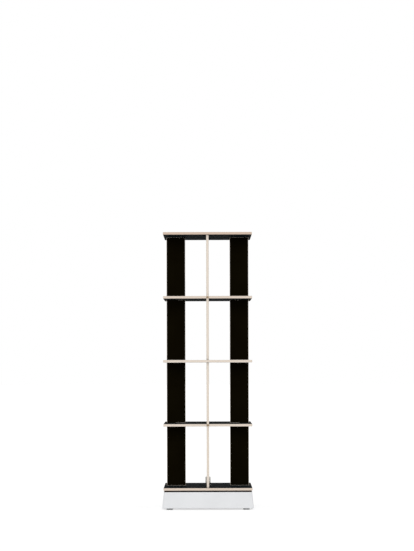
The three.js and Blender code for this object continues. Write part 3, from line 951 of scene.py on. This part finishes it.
def make_plinth():
    piece("plinth_skirt_folded", skirt_mesh(), "plinth_skirt")
    low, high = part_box("plinth_deck")
    cutters = drill(BOLT + FIT, -OVERRUN, DECK_THICKNESS + OVERRUN, STUD_STEPS)
    cutters += holes_for(UPPER_RACE_SCREWS, ACCESS_HOLE, -OVERRUN, DECK_THICKNESS + OVERRUN)
    radius, pilot = SCREW_SHANKS["lower_race"] + FIT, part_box("lower_race_screw_1")[0].z - low.z - FIT
    cutters += holes_for(LOWER_RACE_SCREWS, radius, pilot, DECK_THICKNESS + OVERRUN)
    deck = mesh_of("deck", square_plate(high.x, PLINTH_CORNER, DECK_THICKNESS), DECK_LOOKS)
    piece("plinth_deck_plywood", carved(deck, cutters), "plinth_deck", Matrix.Translation((0, 0, low.z)))
    make_corner_blocks()
    make_feet()


def make_corner_blocks():
    low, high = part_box("corner_block_front_left")
    body = plate(low.x, high.x, low.y, high.y, PLINTH_CORNER, BLOCK_HEIGHT)
    stud = middle("foot_front_left")
    stud_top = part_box("foot_front_left")[1].z - low.z
    hole = drill(FOOT_STUD + FIT, -OVERRUN, stud_top + FIT).at(stud.x, stud.y)
    mesh = carved(mesh_of("corner_block", body, BLOCK_LOOKS), hole)
    for index, corner in enumerate(CORNERS):
        lifted = Matrix.Translation((0, 0, low.z))
        piece(f"corner_block_{corner}_plywood", mesh, f"corner_block_{corner}", turn_of(index) @ lifted)


FOOT_ROUND = 0.0015
FOOT_GROOVE = 0.0006
FOOT_CORE = 0.0125
STUD_PITCH = 0.00125

# Where the stud's plain foot ends and its thread starts, in pitches
STUD_FOOT = 2
STUD_START = 2.1

# Depth of its thread and radius of its end, as shares of its radius
STUD_THREAD_DEPTH = 0.15
STUD_END = 0.8


def foot_meshes():
    """A moulded pad with a groove round it and a hollow sole, and the threaded stud on it."""
    low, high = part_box("foot_front_left")
    radius = (high.x - low.x) / 2
    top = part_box("plinth_skirt")[0].z - FIT
    sole = [(radius - inset, rise) for inset, rise in rounding(FOOT_ROUND)]
    shoulder = [(out, top - height) for out, height in reversed(sole)]
    waist, groove = top / 2, FOOT_GROOVE
    band = [(radius, waist - groove), (radius - groove, waist - groove / 3)]
    band += [(radius - groove, waist + groove / 3), (radius, waist + groove)]
    hollow = [(0, groove), (FOOT_CORE - groove, groove), (FOOT_CORE, 0)]
    pad = turned([*hollow, *sole, *band, *shoulder, (FOOT_STUD, top), (0, top)], FOOT_STEPS)
    start = top - groove
    profile = [(0, start), (FOOT_STUD, start), (FOOT_STUD, top + STUD_FOOT * STUD_PITCH)]
    thread_ends = top + STUD_START * STUD_PITCH, high.z - STUD_PITCH
    profile += thread(FOOT_STUD, STUD_PITCH, *thread_ends, STUD_THREAD_DEPTH * FOOT_STUD)
    profile += [(STUD_END * FOOT_STUD, high.z), (0, high.z)]
    stud = turned(profile, STUD_STEPS)
    return mesh_of("foot_pad", pad, RUBBER_LOOKS), mesh_of("foot_stud", stud, STEEL_LOOKS)


def make_feet():
    pad, stud = foot_meshes()
    for corner in CORNERS:
        node = f"foot_{corner}"
        place = middle(node)
        place.z = 0
        piece(f"{node}_pad", pad, node, Matrix.Translation(place))
        piece(f"{node}_stud", stud, node, Matrix.Translation(place))


# Ball race


BALL = size("ball_cage").z / 2
BALL_COUNT = 18
BALL_STEPS = 24
RACE = 0.09
RING_EDGE = 0.0003
CAGE_HALF = 0.0006
CAGE_EDGE = 0.0002
POCKET = 0.0023
GROOVE_STEPS = 10

# How far each ring reaches in from the balls' circle
RING_REACHES = {"upper": 0.01, "lower": 0.02}


def ring_mesh(name, inner, outer, near, far, head, distance, extra):
    """A flat ring whose groove looks down on the balls' middle at z = 0, with its countersunk holes."""
    radius = BALL + FIT
    start = math.asin(near / radius)
    sweep = math.pi - 2 * start
    arc = [math.pi - start - sweep * step / GROOVE_STEPS for step in range(GROOVE_STEPS + 1)]
    groove = [(RACE + radius * math.cos(a), radius * math.sin(a)) for a in arc]
    profile = ring_profile(inner, outer, near, far, RING_EDGE, groove=groove)
    mesh = mesh_of(name, turned(profile, RING_STEPS, closed=True), STEEL_LOOKS)
    shank = SCREW_SHANKS["upper_race"]
    sink = countersink(head + FIT, shank + FIT, far - near + OVERRUN).moved(UPSIDE_DOWN)
    return carved(mesh, on_four_sides(sink.at(0, -distance, near + FIT), extra))


def make_race():
    ball_height = middle("ball_cage").z
    place = Matrix.Translation((0, 0, ball_height))
    head = size("lower_race_screw_1").x / 2
    for level, facing, extra in (("upper", Matrix.Identity(4), math.pi / 4), ("lower", UPSIDE_DOWN, 0.0)):
        node = f"{level}_race_ring"
        low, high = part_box(node)
        heights = sorted(abs(corner.z - ball_height) for corner in (low, high))
        screw = middle(f"{level}_race_screw_1")
        distance, inner = math.hypot(screw.x, screw.y), RACE - RING_REACHES[level]
        mesh = ring_mesh(f"{level}_ring", inner, high.x, *heights, head, distance, extra)
        piece(f"{node}_grooved", mesh, node, place @ facing)
    make_cage(place)


def make_cage(place):
    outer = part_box("ball_cage")[1].x
    profile = ring_profile(2 * RACE - outer, outer, -CAGE_HALF, CAGE_HALF, CAGE_EDGE)
    turns = [Matrix.Rotation(2 * math.pi * number / BALL_COUNT, 4, "Z") for number in range(BALL_COUNT)]
    pocket = drill(POCKET + FIT, -OVERRUN, OVERRUN).at(RACE)
    band = mesh_of("cage", turned(profile, RING_STEPS, closed=True), NYLON_LOOKS)
    cage = carved(band, together([pocket.moved(turn) for turn in turns]))
    piece("ball_cage_band", cage, "ball_cage", place)
    arc = [math.pi * step / BALL_STEPS - math.pi / 2 for step in range(1, BALL_STEPS)]
    side = [(BALL * math.cos(angle), BALL * math.sin(angle)) for angle in arc]
    ball = turned([(0, -BALL), *side, (0, BALL)], BALL_STEPS).at(RACE)
    balls = together([ball.moved(turn) for turn in turns])
    piece("race_balls", mesh_of("balls", balls, STEEL_LOOKS), "ball_cage", place)


# Pivot


NUT_FACE_SHARE = 0.95
NUT_CHAMFER = math.tan(math.radians(30))

# Shares of the bolt's radius: depth of its thread, radius of its end and of a nut's mouth
BOLT_THREAD_DEPTH = 0.12
BOLT_END = 0.85
NUT_MOUTH = 1.08


def hex_rings(low, high, chamfered=("low", "high")):
    """The side of a hexagon, drawn in to a round face at each chamfered end."""
    face = NUT_FACE_SHARE * NUT_FLATS / 2

    def side(height, inward):
        def at(angle):
            radius = hexagon(NUT_FLATS, angle)
            return radius, height + inward * (radius - face) * NUT_CHAMFER

        return at

    rings = [(face, low), side(low, 1)] if "low" in chamfered else [side(low, 0)]
    return rings + ([side(high, -1), (face, high)] if "high" in chamfered else [side(high, 0)])


def bolt_mesh():
    low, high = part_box("pivot_bolt")
    flange_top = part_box("plinth_deck")[0].z - FIT
    flange_base = flange_top - BOLT_FLANGE_THICKNESS
    thread_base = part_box("pivot_bush")[1].z + FIT
    edge = RING_EDGE
    profile = [(0, low.z), *hex_rings(low.z, flange_base, chamfered=("low",))]
    profile += [(BOLT_FLANGE - edge, flange_base), (BOLT_FLANGE, flange_base + edge)]
    profile += [(BOLT_FLANGE, flange_top - edge), (BOLT_FLANGE - edge, flange_top), (BOLT, flange_top)]
    profile += [(BOLT, thread_base)]
    thread_ends = thread_base + FIT, high.z - BOLT_PITCH
    profile += thread(BOLT, BOLT_PITCH, *thread_ends, BOLT_THREAD_DEPTH * BOLT)
    profile += [(BOLT_END * BOLT, high.z), (0, high.z)]
    return mesh_of("bolt", turned(profile, NUT_STEPS), STEEL_LOOKS)


def bush_mesh():
    low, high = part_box("pivot_bush")
    rim, inner, edge = high.x, BOLT + FIT, RING_EDGE
    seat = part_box("bottom_board")[1].z + FIT
    profile = [(inner, low.z + edge), (inner + edge, low.z), (BUSH - 2 * edge, low.z)]
    profile += [(BUSH, low.z + 3 * edge), (BUSH, seat), (rim - edge, seat), (rim, seat + edge)]
    profile += [(rim, high.z - edge), (rim - edge, high.z), (inner + 2 * edge, high.z)]
    profile += [(inner, high.z - 2 * edge)]
    return mesh_of("bush", turned(profile, NUT_STEPS, closed=True), BLACK_NYLON_LOOKS)


def washer_mesh():
    low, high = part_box("pivot_washer")
    profile = ring_profile(BOLT + FIT, high.x, low.z, high.z, RING_EDGE, upper=2)
    return mesh_of("washer", turned(profile, NUT_STEPS, closed=True), BLACK_STEEL_LOOKS)


def nut_mesh():
    low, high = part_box("pivot_nut")
    inner, mouth = BOLT + FIT, NUT_MOUTH * BOLT + FIT
    lead = mouth - inner
    profile = [(inner, low.z + lead), (mouth, low.z), *hex_rings(low.z, high.z), (mouth, high.z)]
    profile += [(inner, high.z - lead)]
    return mesh_of("nut", turned(profile, NUT_STEPS, closed=True), BLACK_STEEL_LOOKS)


def cap_nut_mesh():
    """A round cap nut, knurled round its middle, its upper edge rounded over."""
    low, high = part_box("pivot_cap_nut")
    rim, inner, mouth, edge = high.x, BOLT + FIT, NUT_MOUTH * BOLT + FIT, RING_EDGE
    knurl_low, knurl_high = low.z + KNURL_LOW, low.z + KNURL_HIGH
    bore_end, hollow = low.z + CAP_BORE_DEPTH, rim - KNURL_DEPTH
    profile = [(0, bore_end), (inner, bore_end), (inner, low.z + mouth - inner), (mouth, low.z)]
    profile += [(rim - edge, low.z), (rim, low.z + edge), (rim, knurl_low), (hollow, knurl_low + edge)]
    for height in (knurl_low + 2 * edge, knurl_high - 2 * edge):
        profile.append(rippled(rim, KNURL_DEPTH, KNURLS, height))
    profile += [(hollow, knurl_high - edge), (rim, knurl_high)]
    profile += [(rim - rise, high.z - inset) for inset, rise in rounding(CAP_EDGE)]
    profile += [(0, high.z)]
    return mesh_of("cap_nut", turned(profile, RIPPLE_STEPS * KNURLS), STEEL_LOOKS)


def make_pivot():
    piece("pivot_bolt_threaded", bolt_mesh(), "pivot_bolt")
    piece("pivot_bush_flanged", bush_mesh(), "pivot_bush")
    piece("pivot_washer_blackened", washer_mesh(), "pivot_washer")
    piece("pivot_nut_chamfered", nut_mesh(), "pivot_nut")
    piece("pivot_cap_nut_knurled", cap_nut_mesh(), "pivot_cap_nut")


# Studio


FLOOR_RADIUS = 60.0
SKY_LIGHT = 0.7
SUN_LIGHT = 0.97
SUN_ELEVATION = math.radians(14)
SUN_SOFTNESS = math.radians(25)
FLOOR_PALE = 0.9
FLOOR_SEEN = 0.55
FLOOR_LIFT = 0.645
FLOOR_SPECKLE = 0.01


def behind_rays(tree):
    """1 for rays that see the background: from the camera, by a reflection or through glass."""
    path = tree.nodes.new("ShaderNodeLightPath")
    names = ("Is Camera Ray", "Is Glossy Ray", "Is Transmission Ray")
    total = path.outputs[names[0]]
    for name in names[1:]:
        most = tree.nodes.new("ShaderNodeMath")
        most.operation = "MAXIMUM"
        tree.links.new(total, most.inputs[0])
        tree.links.new(path.outputs[name], most.inputs[1])
        total = most.outputs[0]
    return total


def make_world():
    """An even white sky, at full white where it is seen and softer where it lights."""
    world = bpy.data.worlds.new("studio")
    bpy.context.scene.world = world
    world.use_nodes = True
    tree = world.node_tree
    seen = behind_rays(tree)
    strength = tree.nodes.new("ShaderNodeMapRange")
    tree.links.new(seen, strength.inputs["Value"])
    strength.inputs["To Min"].default_value = SKY_LIGHT
    strength.inputs["To Max"].default_value = 1.0
    background = tree.nodes["Background"]
    background.inputs["Color"].default_value = (1, 1, 1, 1)
    tree.links.new(strength.outputs[0], background.inputs["Strength"])


def make_floor():
    """A pale floor that keeps the tower's shadow and reaches white beyond it."""
    body = turned([(0, 0), (FLOOR_RADIUS, 0)], RING_STEPS)
    look = Look("floor", Roughness=0.9, Specular_IOR_Level=0.0)
    seen = behind_rays(look.tree)
    noise = look.noise(look.place(), 40.0, detail=3.0)
    speckle = look.ranged(noise, 0, 1, -FLOOR_SPECKLE, FLOOR_SPECKLE)
    look.set("Base Color", look.math("ADD", speckle, look.ranged(seen, 0, 1, FLOOR_PALE, FLOOR_SEEN)))
    look.shader.inputs["Emission Color"].default_value = (1, 1, 1, 1)
    look.set("Emission Strength", look.math("MULTIPLY", seen, FLOOR_LIFT))
    mesh = mesh_of("floor", body, [look.material])
    mesh.flip_normals()
    floor = bpy.data.objects.new("floor", mesh)
    bpy.context.scene.collection.objects.link(floor)


def make_sun():
    data = bpy.data.lights.new("soft_sun", "SUN")
    data.energy, data.angle = SUN_LIGHT, SUN_SOFTNESS
    sun = bpy.data.objects.new("soft_sun", data)
    sun.rotation_euler = (math.pi / 2 - SUN_ELEVATION, 0, 0)
    bpy.context.scene.collection.objects.link(sun)


make_boards()
make_panels()
make_dowels()
make_screws()
make_crossing_screws()
make_plinth()
make_race()
make_pivot()
make_world()
make_floor()
make_sun()
bpy.context.scene.view_settings.view_transform = "Standard"
